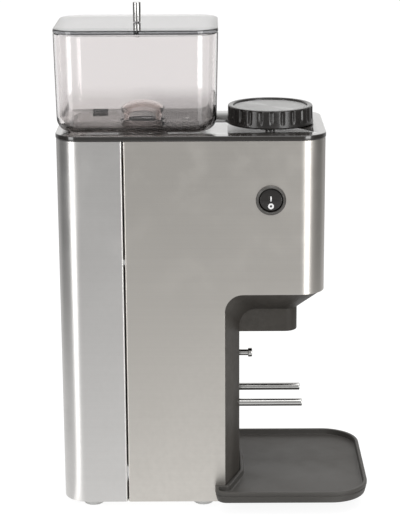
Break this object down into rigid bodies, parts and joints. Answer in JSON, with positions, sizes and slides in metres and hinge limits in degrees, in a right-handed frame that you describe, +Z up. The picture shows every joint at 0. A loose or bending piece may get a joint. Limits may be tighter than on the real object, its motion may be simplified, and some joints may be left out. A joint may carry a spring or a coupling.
{
  "type": "burr coffee grinder",
  "caption": "Home burr grinder: steel housing with overhanging head, clear bean hopper, grind dial, rocker switch, portafilter fork with push trigger, and a drip tray.",
  "frame": {"origin": "centre of the bounding box's base, on the plane of the feet", "axes": "+Z up; -Y is the front, where the spout and the tray are; -X is the side with the rocker switch"},
  "size_m": [0.144, 0.243, 0.3943],
  "materials": {
    "brushed_steel": "stainless sheet, brushed lines running round the body",
    "deck_plastic": "semi gloss dark brown-black moulding",
    "zinc_plate": "zinc plated pressed steel",
    "charcoal_plastic": "fine matt texture",
    "gloss_black": "gloss black moulding",
    "foot_rubber": "translucent pale rubber",
    "black_rubber": "matt",
    "aluminium": "machined die casting",
    "bright_steel": "polished steel",
    "burr_steel": "ground tool steel and laminations",
    "motor_paint": "satin dark paint",
    "board_green": "solder resist on laminate",
    "brass": "machined",
    "gear_nylon": "natural nylon",
    "smoke_clear": "clear plastic with a pinkish smoke tint",
    "disc_grey": "satin grey"
  },
  "bodies": {
    "housing": {"rear_cover": "brushed_steel", "front_shell": "brushed_steel", "top_deck": "deck_plastic", "base_plate": "zinc_plate", "front_moulding": "charcoal_plastic", "spout_nozzle": "gloss_black", "exit_chute": "gloss_black", "foot_left_front": "foot_rubber", "foot_left_rear": "foot_rubber", "foot_right_front": "foot_rubber", "foot_right_rear": "foot_rubber", "cable_gland": "black_rubber", "burr_housing": "aluminium", "ring_retainer": "zinc_plate", "gear_bridge": "zinc_plate", "idler_pin": "bright_steel", "bearing_bracket": "aluminium", "upper_bearing": "bright_steel", "lower_bearing": "bright_steel", "motor_can": "motor_paint", "motor_cap": "aluminium", "motor_stator": "burr_steel", "control_board": "board_green", "start_capacitor": "aluminium", "switch_housing": "gloss_black", "trigger_guide": "brass", "trigger_bracket": "zinc_plate", "microswitch_body": "gloss_black", "fork_plate": "zinc_plate", "fork_rod_left": "bright_steel", "fork_rod_right": "bright_steel", "hopper_peg": "bright_steel", "hopper_sensor": "gloss_black"},
    "hopper": {"hopper_body": "smoke_clear", "bean_guard": "smoke_clear", "hopper_magnet": "black_rubber"},
    "lid": {"hopper_lid": "smoke_clear", "lid_pin": "bright_steel", "lid_pin_nut": "bright_steel"},
    "dial": {"adjust_knob": "gloss_black", "knob_disc": "disc_grey", "knob_shaft": "bright_steel", "knob_gear": "brass"},
    "idler": {"idler_gear": "gear_nylon"},
    "ring": {"adjusting_ring": "brass"},
    "burr_carrier": {"upper_burr_carrier": "aluminium", "upper_burr": "burr_steel"},
    "drive": {"drive_shaft": "bright_steel", "motor_rotor": "burr_steel", "cooling_fan": "gloss_black", "lower_burr_carrier": "aluminium", "lower_burr": "burr_steel", "feed_auger": "bright_steel"},
    "rocker": {"rocker_button": "gloss_black"},
    "trigger": {"trigger_pin": "bright_steel", "trigger_spring": "bright_steel"},
    "lever": {"microswitch_lever": "bright_steel"},
    "tray": {"drip_tray": "charcoal_plastic"}
  },
  "joints": [
    {"name": "hopper_lift", "type": "slide", "parent": "housing", "child": "hopper", "axis": [0, 0, 1], "range_m": [0, 0.06]},
    {"name": "lid_lift", "type": "slide", "parent": "hopper", "child": "lid", "axis": [0, 0, 1], "range_m": [0, 0.08]},
    {"name": "knob_turn", "type": "hinge", "parent": "housing", "child": "dial", "pos_m": [0, -0.0445, 0.3], "axis": [0, 0, 1], "range_deg": [-135, 135]},
    {"name": "idler_turn", "type": "hinge", "parent": "housing", "child": "idler", "pos_m": [0, -0.0085, 0.2764], "axis": [0, 0, 1], "range_deg": [-97, 97]},
    {"name": "ring_turn", "type": "hinge", "parent": "housing", "child": "ring", "pos_m": [0, 0.0545, 0.2764], "axis": [0, 0, 1], "range_deg": [-48.5, 48.5]},
    {"name": "burr_adjust", "type": "slide", "parent": "housing", "child": "burr_carrier", "axis": [0, 0, 1], "range_m": [-0.00041, 0.00041]},
    {"name": "motor_turn", "type": "hinge", "parent": "housing", "child": "drive", "pos_m": [0, 0.0545, 0.126], "axis": [0, 0, 1], "continuous": true},
    {"name": "rocker_turn", "type": "hinge", "parent": "housing", "child": "rocker", "pos_m": [-0.052, -0.0435, 0.2506], "axis": [0, -1, 0], "range_deg": [0, 14]},
    {"name": "trigger_push", "type": "slide", "parent": "housing", "child": "trigger", "axis": [0, 1, 0], "range_m": [0, 0.003], "stiffness_N_per_m": 500, "springref_m": -0.0015, "deforming": ["trigger_spring"]},
    {"name": "lever_turn", "type": "hinge", "parent": "housing", "child": "lever", "pos_m": [0, -0.0113, 0.1065], "axis": [-1, 0, 0], "range_deg": [0, 3.6]},
    {"name": "tray_slide", "type": "slide", "parent": "housing", "child": "tray", "axis": [0, -1, 0], "range_m": [0, 0.05]}
  ],
  "couplings": [
    {"joint": "idler_turn", "follows": "knob_turn", "ratio": -0.71429},
    {"joint": "ring_turn", "follows": "knob_turn", "ratio": 0.35714},
    {"joint": "burr_adjust", "follows": "knob_turn", "m_per_rad": -0.00017052},
    {"joint": "lever_turn", "follows": "trigger_push", "rad_per_m": 20}
  ]
}
